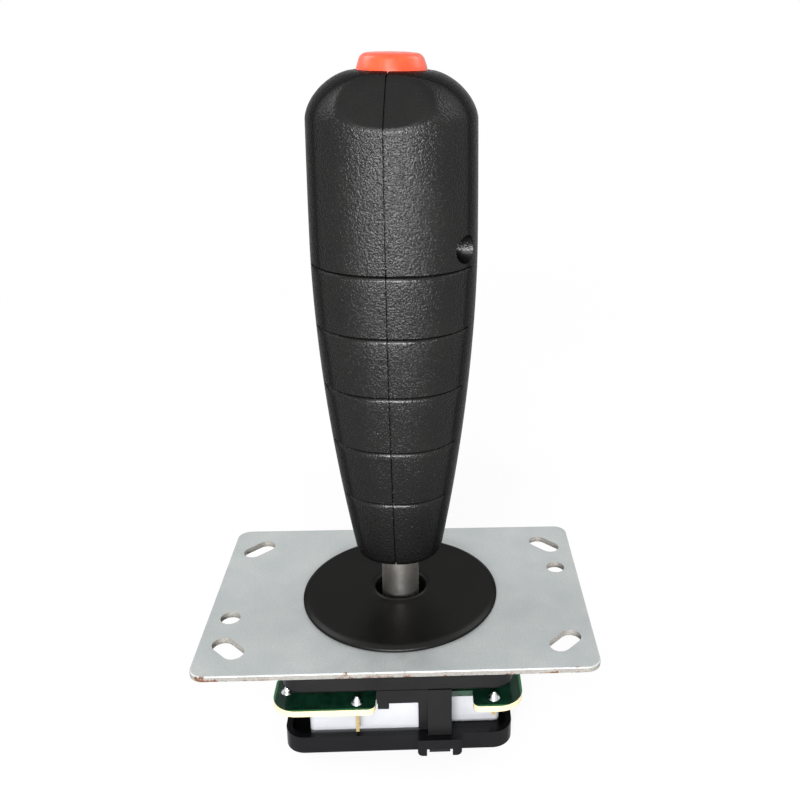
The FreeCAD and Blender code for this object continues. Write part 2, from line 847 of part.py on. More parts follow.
def grip_cuts():
    """Holes through the finished grip for what it carries."""
    reach = 2 * grip_half
    ceiling = grip_top_z - grip_wall
    cuts = [rod(shaft_r + press_gap, 0, shaft_top_z + seat_gap)]
    cuts.append(rod(button_r + button_gap, ceiling - 1, grip_top_z + 2))
    cuts.append(rod(button_stem_r + stem_gap, shelf_z - shelf_thick - 1, shelf_z + 1))
    cuts.append(rod_x(cross_pin_r + press_gap, -cross_pin_long / 2, cross_pin_long / 2, 0, cross_pin_z))
    half = trigger_pin_long / 2
    cuts.append(rod_x(trigger_pin_r + press_gap, -half, half, trigger_pivot_y, trigger_pivot_z))
    slot = trigger_half + trigger_slot_gap
    slot_y = trigger_switch_y + trigger_slot_gap
    cuts.append(box(-slot, slot, slot_y, reach, trigger_slot_bottom, trigger_slot_top))
    for y, z in grip_screws_at:
        seat = screw_seat_x(y, z)
        cuts.append(rod_x(grip_screw_r + press_gap, seat - grip_screw_long - screw_room, seat + 1, y, z))
        cuts.append(rod_x(grip_recess_r, seat, reach, y, z))
    return cuts


def grip_halves():
    """The whole grip, hollowed and pierced, and then parted along its seam."""
    whole = grip_form(0).cut([grip_cavity()] + grip_cuts() + line_tools())
    reach = 2 * grip_half
    left = whole.common(box(-reach, 0, -reach, reach, 0, 2 * grip_top_z))
    right = whole.common(box(0, reach, -reach, reach, 0, 2 * grip_top_z))
    peg_r = small_switch_hole_r - running_gap
    pegs = [rod_x(peg_r, -small_case_half - 1, small_case_half, y, z) for y, z in small_switch_holes()]
    return left.fuse(pegs), right


def grip_screws():
    screws = []
    for y, z in grip_screws_at:
        seat = screw_seat_x(y, z)
        head = rod_x(grip_screw_head_r, seat, seat + grip_screw_head, y, z)
        rim = [e for e in head.Edges if e.BoundBox.XLength < 1e-6 and e.BoundBox.XMin > seat + 1]
        head = head.makeFillet(grip_screw_edge, rim)
        top = seat + grip_screw_head
        low = top - grip_cross_deep
        reach = grip_cross_share * grip_screw_head_r
        w = cross_wide / 2
        cross = box(low, top + 1, y - reach, y + reach, z - w, z + w)
        cross = cross.fuse(box(low, top + 1, y - w, y + w, z - reach, z + reach))
        shank = rod_x(grip_screw_r, seat - grip_screw_long, seat, y, z)
        screws.append(head.fuse(shank).cut(cross))
    return Part.makeCompound(screws)


# Button

def button_flange_top():
    return grip_top_z - grip_wall - button_gap


def button_ceiling():
    """The underside of the button's top, which its spring presses on."""
    return button_top_z - button_wall - button_crown


def button_stem_z():
    """The stem's end, above the plunger by the travel that closes no contact."""
    return top_switch_z + top_plunger_proud + button_travel - small_plunger_travel + seat_gap


def top_button():
    """A hollow cap with a crowned top, leaning sides and a flange under the grip's roof."""
    flange_top = button_flange_top()
    flange_low = flange_top - button_flange
    ceiling = button_ceiling()
    inner = button_r - button_lean - button_wall
    profile = [(inner, flange_low), (button_flange_r, flange_low), (button_flange_r, flange_top)]
    profile += [(button_r, flange_top), (button_r, grip_top_z), (button_r - button_lean, button_top_z)]
    profile += [(0, button_top_z), (0, ceiling), (inner, ceiling)]
    crown_r = (button_r - button_lean) ** 2 / (2 * button_crown)
    crown = Part.makeSphere(crown_r, V(0, 0, button_top_z - crown_r))
    cap = turned(profile)
    top = cap.common(crown)
    low = cap.common(rod(2 * button_r, flange_low - 1, grip_top_z))
    cap = top.fuse(low).removeSplitter()
    rim = [e for e in cap.Edges if e.BoundBox.ZMin > grip_top_z + 1 and e.BoundBox.XLength > button_r]
    cap = cap.makeFillet(button_round, rim)
    return cap.fuse(rod(button_stem_r, button_stem_z(), ceiling + button_crown))


def top_button_spring():
    low = shelf_z + spring_gap
    high = button_ceiling() - spring_gap
    return coil(button_spring_r, button_spring_wire_r, button_spring_turns, low, high)


# Small switches in the grip

def top_switch_case():
    h = small_case_half
    low = top_switch_z - small_switch_tall
    case = box(-h, h, top_switch_low - small_switch_long, top_switch_low, low, top_switch_z)
    edges = [e for e in case.Edges if e.BoundBox.XLength > h]
    case = case.makeFillet(small_switch_corner, edges)
    deep = small_plunger_root + small_plunger_travel + 0.3
    cuts = [rod(small_plunger_r + 2 * running_gap, top_switch_z - deep, top_switch_z + 1)]
    cuts += [rod_x(small_switch_hole_r, -h - 1, h + 1, y, z) for y, z in small_switch_holes()[:2]]
    return case.cut(cuts)


def top_switch_plunger():
    top = top_switch_z + top_plunger_proud
    pin = rod(small_plunger_r, top_switch_z - small_plunger_root, top)
    rim = [e for e in pin.Edges if e.BoundBox.ZMin > top - 1e-6]
    return pin.makeFillet(0.35, rim)


def trigger_switch_case():
    h = small_case_half
    y0 = trigger_switch_y - small_switch_tall
    case = box(-h, h, y0, trigger_switch_y, trigger_switch_low_z, trigger_switch_low_z + small_switch_long)
    edges = [e for e in case.Edges if e.BoundBox.XLength > h]
    case = case.makeFillet(small_switch_corner, edges)
    deep = small_plunger_root + small_plunger_travel + 0.3
    face = trigger_switch_y
    cuts = [rod_y(small_plunger_r + 2 * running_gap, face - deep, face + 1, 0, trigger_plunger_z)]
    cuts += [rod_x(small_switch_hole_r, -h - 1, h + 1, y, z) for y, z in small_switch_holes()[2:]]
    return case.cut(cuts)


def trigger_switch_plunger():
    tip = trigger_switch_y + trigger_plunger_proud
    pin = rod_y(small_plunger_r, trigger_switch_y - small_plunger_root, tip, 0, trigger_plunger_z)
    rim = [e for e in pin.Edges if e.BoundBox.YMin > tip - 1e-6]
    return pin.makeFillet(0.35, rim)


def grip_switch_terminals():
    h = small_blade_thick / 2
    w = small_blade_wide / 2
    span = small_switch_long - 2 * small_blade_wide
    blades = []
    for k in (-1, 0, 1):
        y = top_switch_low - small_switch_long / 2 + k * span / 2
        low = top_switch_z - small_switch_tall
        blades.append(box(-h, h, y - w, y + w, low - small_blade_long, low))
        z = trigger_switch_low_z + small_switch_long / 2 + k * span / 2
        back = trigger_switch_y - small_switch_tall
        blades.append(box(-h, h, back - small_blade_long, back, z - w, z + w))
    return Part.makeCompound(blades)


# Trigger

def trigger_pad_y():
    """The trigger's inner face, far enough out to close the contact at full pull."""
    arm = trigger_pivot_z - trigger_plunger_z
    swing = arm * math.tan(math.radians(trigger_pull_deg))
    return trigger_switch_y + trigger_plunger_proud - small_plunger_travel + swing + 0.12


def finger_arc():
    """The ends and centre of the hollow curve that the finger rests in."""
    top = V(0, trigger_face_y, trigger_pivot_z + trigger_hub_r - 1.8)
    toe = V(0, trigger_toe_y, trigger_toe_z + 1.4)
    middle = V(0, trigger_face_y + 0.9, (top.z + toe.z) / 2)
    return top, toe, Part.Arc(top, middle, toe).toShape().Curve.Center


def trigger_blade():
    """The crowned blade, its section turned about the centre of the finger curve."""
    top, toe, centre = finger_arc()
    outward = (top - centre).normalize()
    half = trigger_half
    edge = 1.3

    def at(x, deep):
        return top + V(x, 0, 0) + outward * deep

    crown = Part.Arc(at(edge - half, 0), at(0, -0.5), at(half - edge, 0)).toShape()
    right = Part.Arc(at(half - edge, 0), at(half - 0.3 * edge, 0.3 * edge), at(half, edge)).toShape()
    left = Part.Arc(at(-half, edge), at(0.3 * edge - half, 0.3 * edge), at(edge - half, 0)).toShape()
    back = [at(half, edge), at(half, trigger_blade_thick), at(-half, trigger_blade_thick), at(-half, edge)]
    lines = [Part.makeLine(a, b) for a, b in zip(back, back[1:])]
    face = Part.Face(Part.Wire([crown, right] + lines + [left]))
    sweep = math.degrees((top - centre).getAngle(toe - centre))
    return face.revolve(centre, V(1, 0, 0), sweep)


def trigger():
    pad = trigger_pad_y()
    top = trigger_pivot_z + trigger_hub_r
    face = trigger_face_y
    low = trigger_toe_z
    side = [(trigger_pivot_y, top), (face - 1.6, top), (face - 1.0, top - 8.4), (face + 0.4, top - 15.4)]
    side += [(trigger_toe_y - 2.2, low + 1.5), (trigger_toe_y - 2.8, low)]
    side += [(pad + 0.8, low), (pad, low + 0.8)]
    side += [(pad, trigger_pivot_z - 4.2), (trigger_pivot_y, trigger_pivot_z - 2.0)]
    half = trigger_half - 0.4
    points = [V(-half, y, z) for y, z in side]
    web = Part.Face(Part.makePolygon(points + [points[0]])).extrude(V(2 * half, 0, 0))
    hub = rod_x(trigger_hub_r, -trigger_half, trigger_half, trigger_pivot_y, trigger_pivot_z)
    whole = web.fuse([trigger_blade(), hub])
    return whole.cut(rod_x(trigger_pin_r + 0.05, -20, 20, trigger_pivot_y, trigger_pivot_z))


def main():
    save("mounting_plate", mounting_plate())
    save("plate_screws", plate_screws())
    save("dust_washer", dust_washer())
    save("base_body", base_body())
    save("restrictor_gate", restrictor_gate())
    save("switch_board", switch_board())
    save("solder_joints", solder_joints())
    save("board_connector", board_connector())
    save("connector_pins", connector_pin_row())
    sides = ("front", "right", "back", "left")
    for step, side in enumerate(sides):
        save("switch_case_" + side, quarter(switch_case(), step))
        save("switch_plunger_" + side, quarter(switch_plunger(), step))
    covers = [quarter(switch_block(switch_low_z, case_low_z), step) for step in range(4)]
    save("switch_covers", Part.makeCompound(covers))
    save("switch_terminals", switch_terminals())
    save("lever_shaft", twisted(lever_shaft()))
    save("pivot_ball", pivot_ball())
    save("spring_collar", spring_collar())
    save("centring_spring", centring_spring())
    save("actuator", actuator())
    save("retaining_clip", retaining_clip())
    left, right = grip_halves()
    save("grip_left", twisted(left))
    save("grip_right", twisted(right))
    save("grip_screws", twisted(grip_screws()))
    half = cross_pin_long / 2
    save("shaft_cross_pin", twisted(rod_x(cross_pin_r, -half, half, 0, cross_pin_z)))
    save("top_button", twisted(top_button()))
    save("top_button_spring", twisted(top_button_spring()))
    save("top_switch_case", twisted(top_switch_case()))
    save("top_switch_plunger", twisted(top_switch_plunger()))
    save("trigger", twisted(trigger()))
    half = trigger_pin_long / 2
    pin = rod_x(trigger_pin_r, -half, half, trigger_pivot_y, trigger_pivot_z)
    save("trigger_pin", twisted(pin))
    save("trigger_switch_case", twisted(trigger_switch_case()))
    save("trigger_switch_plunger", twisted(trigger_switch_plunger()))
    save("grip_switch_terminals", twisted(grip_switch_terminals()))


main()
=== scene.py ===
# %% [markdown]
# An arcade flight stick, dressed for a render. The steel plate, the switches and the
# lever come from the CAD model, which is loaded first and stays where it is. This
# script adds finishes, models the turned and moulded pieces again with smooth
# surfaces, and lights the stick softly on a pale floor.

# %% Load the stick
import math

import bpy
from mathutils import Matrix, Vector


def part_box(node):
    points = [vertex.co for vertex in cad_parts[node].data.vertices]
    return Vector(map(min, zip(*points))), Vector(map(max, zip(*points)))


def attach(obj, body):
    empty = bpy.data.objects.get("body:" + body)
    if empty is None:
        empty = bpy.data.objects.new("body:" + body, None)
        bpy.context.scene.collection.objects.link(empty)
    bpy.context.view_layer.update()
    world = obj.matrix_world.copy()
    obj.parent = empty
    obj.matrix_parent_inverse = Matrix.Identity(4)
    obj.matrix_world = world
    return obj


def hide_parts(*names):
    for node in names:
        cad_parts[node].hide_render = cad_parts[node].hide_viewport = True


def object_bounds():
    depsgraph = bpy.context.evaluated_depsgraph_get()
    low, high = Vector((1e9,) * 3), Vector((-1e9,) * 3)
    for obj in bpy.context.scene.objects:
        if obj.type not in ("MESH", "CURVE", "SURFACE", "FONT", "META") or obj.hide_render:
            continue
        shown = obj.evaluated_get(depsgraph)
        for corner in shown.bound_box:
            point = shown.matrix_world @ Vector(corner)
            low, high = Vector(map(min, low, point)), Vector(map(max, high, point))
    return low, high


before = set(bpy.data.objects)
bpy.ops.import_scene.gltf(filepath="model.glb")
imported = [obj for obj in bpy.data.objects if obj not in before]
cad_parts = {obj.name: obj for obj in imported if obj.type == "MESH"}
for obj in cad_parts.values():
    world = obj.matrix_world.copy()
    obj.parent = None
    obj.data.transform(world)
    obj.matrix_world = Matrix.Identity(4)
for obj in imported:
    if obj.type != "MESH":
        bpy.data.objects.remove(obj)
cad_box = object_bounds()
MM = 0.001

# %% [markdown]
# The camera comes first, because every later choice is judged through it. It looks
# down on the plate a little, from in front and very slightly to the right, with a
# short lens, and the picture's middle is shifted to frame the stick.

# %% Camera
look_azimuth = -0.057
look_elevation = 0.314
look_roll = 0.012
focal_px = 918.355
picture_px = 800
optical_centre_px = (478.84, 328.85)
look_at = Vector((20.0, 0.0, 73.512)) * MM
look_distance = 223.426 * MM
sensor_mm = 36.0

back = Vector((math.sin(look_azimuth) * math.cos(look_elevation),
               -math.cos(look_azimuth) * math.cos(look_elevation),
               math.sin(look_elevation)))
level_right = Vector((math.cos(look_azimuth), math.sin(look_azimuth), 0))
level_up = back.cross(level_right)
right = math.cos(look_roll) * level_right + math.sin(look_roll) * level_up
up = math.cos(look_roll) * level_up - math.sin(look_roll) * level_right

camera_data = bpy.data.cameras.new("photo_camera")
camera_data.sensor_width = sensor_mm
camera_data.lens = focal_px / picture_px * sensor_mm
camera_data.shift_x = (picture_px / 2 - optical_centre_px[0]) / picture_px
camera_data.shift_y = (optical_centre_px[1] - picture_px / 2) / picture_px
camera_data.clip_start = 0.01
camera = bpy.data.objects.new("photo_camera", camera_data)
bpy.context.scene.collection.objects.link(camera)
turn_matrix = Matrix((right, up, back)).transposed().to_4x4()
camera.matrix_world = Matrix.Translation(look_at + back * look_distance) @ turn_matrix
bpy.context.scene.camera = camera
print("camera stands at", [round(v, 4) for v in camera.matrix_world.translation])

# %% [markdown]
# The stick was shown on plain white. A wide floor under it keeps a soft shadow, and
# both floor and surroundings look white to the camera and in reflections, while the
# light that they give stays at a plain level.

# %% White surroundings
scene = bpy.context.scene
scene.view_settings.view_transform = "Standard"


def white_for_views(tree):
    """A value that is 1 for camera, glossy and transmission rays, and 0 for the rest."""
    path = tree.nodes.new("ShaderNodeLightPath")
    first = tree.nodes.new("ShaderNodeMath")
    first.operation = "MAXIMUM"
    tree.links.new(path.outputs["Is Camera Ray"], first.inputs[0])
    tree.links.new(path.outputs["Is Glossy Ray"], first.inputs[1])
    second = tree.nodes.new("ShaderNodeMath")
    second.operation = "MAXIMUM"
    tree.links.new(first.outputs[0], second.inputs[0])
    tree.links.new(path.outputs["Is Transmission Ray"], second.inputs[1])
    return second.outputs[0]


room_level, seen_level = 0.42, 1.0
world = bpy.data.worlds.new("white_room")
scene.world = world
world.use_nodes = True
room = world.node_tree
room.nodes.clear()
room_light = room.nodes.new("ShaderNodeBackground")
room_light.inputs["Color"].default_value = (1, 1, 1, 1)
room_light.inputs["Strength"].default_value = room_level
room_seen = room.nodes.new("ShaderNodeBackground")
room_seen.inputs["Color"].default_value = (1, 1, 1, 1)
room_seen.inputs["Strength"].default_value = seen_level
room_mix = room.nodes.new("ShaderNodeMixShader")
room_out = room.nodes.new("ShaderNodeOutputWorld")
room.links.new(white_for_views(room), room_mix.inputs[0])
room.links.new(room_light.outputs[0], room_mix.inputs[1])
room.links.new(room_seen.outputs[0], room_mix.inputs[2])
room.links.new(room_mix.outputs[0], room_out.inputs["Surface"])

# %% Floor
floor_z = cad_box[0][2]
floor_side = 12.0
near_edge, far_edge = 0.10, 0.60
near_white, far_white = 0.86, 1.0
bpy.ops.object.select_all(action="DESELECT")
bpy.ops.mesh.primitive_plane_add(size=floor_side, location=(0, 0, 0))
floor = bpy.context.object
floor.name = "floor"
floor.data.transform(Matrix.Translation((0, 0, floor_z)))
floor_paint = bpy.data.materials.new("floor_white")
floor_paint.use_nodes = True
paint = floor_paint.node_tree
paint.nodes.clear()
matt = paint.nodes.new("ShaderNodeBsdfDiffuse")
matt.inputs["Color"].default_value = (0.9, 0.9, 0.9, 1)
glow = paint.nodes.new("ShaderNodeEmission")
glow.inputs["Color"].default_value = (1, 1, 1, 1)
glow.inputs["Strength"].default_value = seen_level
where = paint.nodes.new("ShaderNodeTexCoord")
far_off = paint.nodes.new("ShaderNodeVectorMath")
far_off.operation = "LENGTH"
paint.links.new(where.outputs["Object"], far_off.inputs[0])
whiter = paint.nodes.new("ShaderNodeMapRange")
whiter.interpolation_type = "SMOOTHSTEP"
for socket, value in zip(("From Min", "From Max", "To Min", "To Max"),
                         (near_edge, far_edge, near_white, far_white)):
    whiter.inputs[socket].default_value = value
paint.links.new(far_off.outputs["Value"], whiter.inputs["Value"])
share = paint.nodes.new("ShaderNodeMath")
share.operation = "MULTIPLY"
paint.links.new(whiter.outputs["Result"], share.inputs[1])
blend_paint = paint.nodes.new("ShaderNodeMixShader")
paint_out = paint.nodes.new("ShaderNodeOutputMaterial")
paint.links.new(white_for_views(paint), share.inputs[0])
paint.links.new(share.outputs[0], blend_paint.inputs[0])
paint.links.new(matt.outputs[0], blend_paint.inputs[1])
paint.links.new(glow.outputs[0], blend_paint.inputs[2])
paint.links.new(blend_paint.outputs[0], paint_out.inputs["Surface"])
floor.data.materials.append(floor_paint)
print("floor at", round(floor_z / MM, 2), "mm")

# %% [markdown]
# Soft lamps stand round the stick, as cloth boxes do round a small product. Two at
# the sides keep the plate and the base readable. A weak one in front is high, and a
# narrow one is as low as the grip's foot: the grip's front leans so that only this
# one is mirrored in it, which draws the bright grainy band down the middle and leaves
# the thumb facet above it dark.

# %% Soft lamps


def soft_lamp(name, place, width, height, power):
    """A lamp that faces the middle of the stick."""
    lamp_data = bpy.data.lights.new(name, "AREA")
    lamp_data.shape = "RECTANGLE"
    lamp_data.size = width
    lamp_data.size_y = height
    lamp_data.energy = power
    lamp = bpy.data.objects.new(name, lamp_data)
    scene.collection.objects.link(lamp)
    away = Vector(place) - Vector((0, 0, 0.05))
    facing = away.to_track_quat("Z", "Y").to_matrix().to_4x4()
    lamp.matrix_world = Matrix.Translation(place) @ facing
    return lamp


soft_lamp("front_box", (-0.12, -0.75, 0.62), 0.26, 0.26, 2.0)
soft_lamp("front_strip", (-0.04, -0.66, 0.15), 0.36, 0.12, 8.2)
soft_lamp("left_box", (-0.72, 0.22, 0.70), 0.5, 0.5, 4.1)
soft_lamp("right_box", (0.78, 0.26, 0.72), 0.5, 0.5, 3.7)

# %% [markdown]
# Every finish is a small network on one shader: a pattern on the piece's own
# coordinates drives the colour, the roughness and a fine bump. These helpers keep
# the networks short. Colours are written as they look on a screen, from 0 to 255.

# %% Finish helpers


def screen_colour(red, green, blue):
    """A colour as it looks on a screen, turned into the linear values a shader uses."""
    def linear(v):
        v = v / 255
        return v / 12.92 if v <= 0.04045 else ((v + 0.055) / 1.055) ** 2.4
    return (linear(red), linear(green), linear(blue), 1)


class Finish:
    """One material and the nodes that it is made of."""

    def __init__(self, name, metallic, coat=0.0, specular=0.5):
        self.material = bpy.data.materials.new(name)
        self.material.use_nodes = True
        self.tree = self.material.node_tree
        self.shader = self.tree.nodes["Principled BSDF"]
        self.shader.inputs["Metallic"].default_value = metallic
        self.shader.inputs["Coat Weight"].default_value = coat
        self.shader.inputs["Specular IOR Level"].default_value = specular
        self.place = self.tree.nodes.new("ShaderNodeTexCoord").outputs["Object"]
        self.height = None

    def link(self, source, socket):
        """Joins one socket to another."""
        self.tree.links.new(source, socket)

    def stretched(self, x, y, z, turn=0.0):
        """The piece's coordinates, scaled differently along each axis."""
        node = self.tree.nodes.new("ShaderNodeMapping")
        node.inputs["Scale"].default_value = (x, y, z)
        node.inputs["Rotation"].default_value = (0, 0, turn)
        self.link(self.place, node.inputs["Vector"])
        return node.outputs[0]

    def cloud(self, feature_mm, detail=3.0, place=None, rough=0.55):
        """A soft noise whose features are about that many millimetres wide."""
        node = self.tree.nodes.new("ShaderNodeTexNoise")
        node.inputs["Scale"].default_value = 1 / (feature_mm * MM)
        node.inputs["Detail"].default_value = detail
        node.inputs["Roughness"].default_value = rough
        self.link(place or self.place, node.inputs["Vector"])
        return node.outputs["Fac"]

    def cells(self, feature_mm, feature="SMOOTH_F1"):
        """Rounded cells, for the grain of a moulded skin."""
        node = self.tree.nodes.new("ShaderNodeTexVoronoi")
        node.feature = feature
        node.inputs["Scale"].default_value = 1 / (feature_mm * MM)
        self.link(self.place, node.inputs["Vector"])
        return node.outputs["Distance"]

    def spread(self, value, low, high, to_low=0.0, to_high=1.0):
        """A value's range from low to high, moved to another range and cut off there."""
        node = self.tree.nodes.new("ShaderNodeMapRange")
        node.inputs["From Min"].default_value = low
        node.inputs["From Max"].default_value = high
        node.inputs["To Min"].default_value = to_low
        node.inputs["To Max"].default_value = to_high
        self.link(value, node.inputs["Value"])
        return node.outputs["Result"]

    def worked(self, a, b, operation="MULTIPLY"):
        """Two values multiplied, or worked on as the operation says."""
        node = self.tree.nodes.new("ShaderNodeMath")
        node.operation = operation
        for socket, value in zip(node.inputs, (a, b)):
            if isinstance(value, (int, float)):
                socket.default_value = value
            else:
                self.link(value, socket)
        return node.outputs[0]

    def mixed(self, share_of_b, a, b):
        """Colour a, or colour b where the share is 1."""
        node = self.tree.nodes.new("ShaderNodeMix")
        node.data_type = "RGBA"
        self.link(share_of_b, node.inputs["Factor"])
        sockets = [s for s in node.inputs if s.type == "RGBA"]
        for socket, value in zip(sockets, (a, b)):
            if isinstance(value, tuple):
                socket.default_value = value
            else:
                self.link(value, socket)
        return [s for s in node.outputs if s.type == "RGBA"][0]

    def colour(self, value):
        """Gives the shader its colour."""
        self.link(value, self.shader.inputs["Base Color"])

    def roughness(self, value):
        """Gives the shader its roughness."""
        self.link(value, self.shader.inputs["Roughness"])

    def gloss(self, straight_on, edge_on):
        """The share of light that the surface mirrors, where it is seen straight on and edge on."""
        seen = self.tree.nodes.new("ShaderNodeLayerWeight")
        seen.inputs["Blend"].default_value = 0.5
        level = self.spread(seen.outputs["Facing"], 0.08, 0.55, straight_on, edge_on)
        self.link(level, self.shader.inputs["Specular IOR Level"])

    def along(self, direction):
        """How far a face looks along a direction: 1 if quite, 0 or less if not at all."""
        looks = self.tree.nodes.new("ShaderNodeTexCoord").outputs["Normal"]
        node = self.tree.nodes.new("ShaderNodeVectorMath")
        node.operation = "DOT_PRODUCT"
        node.inputs[1].default_value = direction
        self.link(looks, node.inputs[0])
        return node.outputs["Value"]

    def bump(self, value, depth_mm, strength=1.0):
        """Adds a height pattern on top of those before it."""
        node = self.tree.nodes.new("ShaderNodeBump")
        if isinstance(strength, float):
            node.inputs["Strength"].default_value = strength
        else:
            self.link(strength, node.inputs["Strength"])
        node.inputs["Distance"].default_value = depth_mm * MM
        self.link(value, node.inputs["Height"])
        if self.height is not None:
            self.link(self.height, node.inputs["Normal"])
        self.height = node.outputs["Normal"]
        self.link(self.height, self.shader.inputs["Normal"])


def separate(finish):
    """The piece's coordinates as three values."""
    parts = finish.tree.nodes.new("ShaderNodeSeparateXYZ")
    finish.link(finish.place, parts.inputs[0])
    return parts


def dress(finish, *node_names):
    """Gives CAD nodes a finish through their own material slots."""
    for name in node_names:
        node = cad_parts[name]
        if not node.material_slots:
            node.data.materials.append(finish.material)
        for slot in node.material_slots:
            slot.material = finish.material
    print(finish.material.name, "on", ", ".join(node_names))


# %% [markdown]
# The plate is a zinc-plated steel blank. Plating has a cloudy grey that is almost
# matt, with faint lines from the rolling of the sheet. Its upright faces, the cut
# edges, are painted a darker brown-grey as painted shade. Rust has started on the
# front edge and at the front left corner, so brown spots follow that edge and stop
# a millimetre or two from it.

# %% Plated steel with a rusty front edge
plate_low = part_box("mounting_plate")[0]


def edge_rust(finish, edge_y, corner_x):
    """Where rust shows: a broken line low on the front edge, and spots at its left corner."""
    x, y, z = separate(finish).outputs
    face = finish.spread(y, edge_y + 0.02 * MM, edge_y + 0.25 * MM, 1.0, 0.0)
    top = finish.spread(y, edge_y + 0.3 * MM, edge_y + 1.6 * MM, 0.10, -0.12)
    low = finish.spread(z, -1.5 * MM, -0.5 * MM, 0.13, -0.06)
    corner = finish.spread(x, corner_x, corner_x + 7 * MM, 0.16, 0.0)
    patches = finish.cloud(2.2, 5.0, rough=0.65)
    on_face = finish.worked(finish.worked(patches, low, "ADD"), corner, "ADD")
    on_face = finish.worked(finish.spread(on_face, 0.60, 0.70), face)
    on_top = finish.worked(finish.worked(patches, top, "ADD"), corner, "ADD")
    on_top = finish.spread(on_top, 0.72, 0.80)
    return finish.worked(on_face, on_top, "MAXIMUM")


plated = Finish("plated_steel", metallic=0.55)
rolled = plated.stretched(1.0, 0.06, 1.0)
cloudy = plated.cloud(9.0, 4.0)
lines = plated.cloud(0.35, 2.0, rolled)
fine = plated.cloud(0.45, 3.0)
zinc = plated.mixed(plated.spread(cloudy, 0.3, 0.7), screen_colour(171, 176, 176),
                    screen_colour(184, 188, 187))
speckled = plated.mixed(plated.spread(fine, 0.35, 0.7, 0.0, 0.5), zinc, screen_colour(154, 159, 160))
# painted shade: faces that stand upright, the plate's edges, take a darker brown-grey colour
faces_up = plated.worked(plated.along((0, 0, 1)), 0.0, "ABSOLUTE")
upright_painted_shade = plated.spread(faces_up, 0.15, 0.5, 0.75, 0.0)
edge_shade_colour = plated.mixed(plated.spread(fine, 0.35, 0.65), screen_colour(112, 104, 96),
                        screen_colour(150, 144, 136))
rust = edge_rust(plated, plate_low[1], plate_low[0])
zinc_with_edge_shade = plated.mixed(upright_painted_shade, speckled, edge_shade_colour)
plated.colour(plated.mixed(rust, zinc_with_edge_shade, screen_colour(104, 66, 42)))
sheen = plated.spread(plated.worked(lines, cloudy, "ADD"), 0.6, 1.4, 0.42, 0.6)
plated.roughness(plated.worked(sheen, plated.worked(rust, 0.35), "ADD"))
plated.bump(lines, 0.02, 0.25)
plated.bump(fine, 0.03, 0.4)
dress(plated, "mounting_plate")

# %% [markdown]
# The grip is black nylon from a spark-eroded mould, so its skin has a close leather
# grain of rounded bumps about half a millimetre wide. Hands polish the bumps a
# little, which is why the grain glitters where the lamp catches it. The thumb facet
# was left smoother.

# %% Moulded black plastics
calm_share = 0.2


def moulded(name, dark, light, grain_mm, grain_deep, rough, gloss=(0.5, 0.5), relief=0.6, calm=None):
    """A moulded plastic: two close tones, a grain of rounded bumps and uneven gloss.

    Where faces look along the calm direction, the grain almost vanishes."""
    plastic = Finish(name, metallic=0.0)
    handled = plastic.cloud(14.0, 3.0)
    tone = plastic.spread(handled, 0.3, 0.7)
    plastic.colour(plastic.mixed(tone, screen_colour(*dark), screen_colour(*light)))
    grain = plastic.cells(grain_mm)
    pores = plastic.cloud(grain_mm * 0.8, 2.0)
    plastic.roughness(plastic.spread(plastic.worked(grain, handled, "ADD"), 0.5, 1.3, *rough))
    plastic.gloss(*gloss)
    if calm is not None:
        relief = plastic.spread(plastic.along(calm), 0.84, 0.95, relief, relief * calm_share)
    plastic.bump(grain, grain_deep, relief)
    plastic.bump(pores, grain_deep, relief)
    return plastic


facet_slope = math.radians(54)
grip_twist = math.radians(-4)
facet_normal = Vector((0, -math.sin(facet_slope), math.cos(facet_slope)))
facet_facing = Matrix.Rotation(grip_twist, 3, "Z") @ facet_normal
grip_skin = moulded("grained_grip_plastic", (9, 9, 9), (14, 14, 13), 0.42, 0.14,
                    (0.2, 0.32), (0.29, 0.008), 1.0, facet_facing)
washer_skin = moulded("satin_washer_plastic", (9, 9, 8), (14, 14, 13), 0.4, 0.03,
                      (0.3, 0.44), (0.18, 0.015))
body_skin = moulded("base_plastic", (11, 11, 12), (17, 17, 18), 0.5, 0.02,
                    (0.28, 0.45), (0.3, 0.08))
gate_skin = moulded("gate_plastic", (7, 7, 9), (12, 12, 14), 0.45, 0.015,
                    (0.14, 0.24), (0.26, 0.05))
dress(grip_skin, "grip_left", "grip_right")
dress(washer_skin, "dust_washer")
dress(body_skin, "base_body")
dress(gate_skin, "restrictor_gate")
dress(body_skin, "actuator", "top_switch_case", "trigger_switch_case")

# %% [markdown]
# The thumb button and the trigger are the same orange-red plastic, almost glossy,
# and a little translucent, which softens their shading.

# %% Orange button plastic
orange = Finish("orange_button_plastic", metallic=0.0, specular=0.5)
flow = orange.cloud(3.5, 3.0)
orange.colour(orange.mixed(orange.spread(flow, 0.3, 0.7), screen_colour(212, 62, 30),
                           screen_colour(224, 74, 38)))
orange.roughness(orange.spread(orange.cloud(1.2, 3.0), 0.3, 0.7, 0.28, 0.42))
orange.bump(orange.cloud(0.5, 2.0), 0.01, 0.3)
orange.shader.inputs["Subsurface Weight"].default_value = 0.12
orange.shader.inputs["Subsurface Scale"].default_value = 0.002
orange.shader.inputs["Subsurface Radius"].default_value = (1.0, 0.3, 0.15)
dress(orange, "top_button", "trigger")
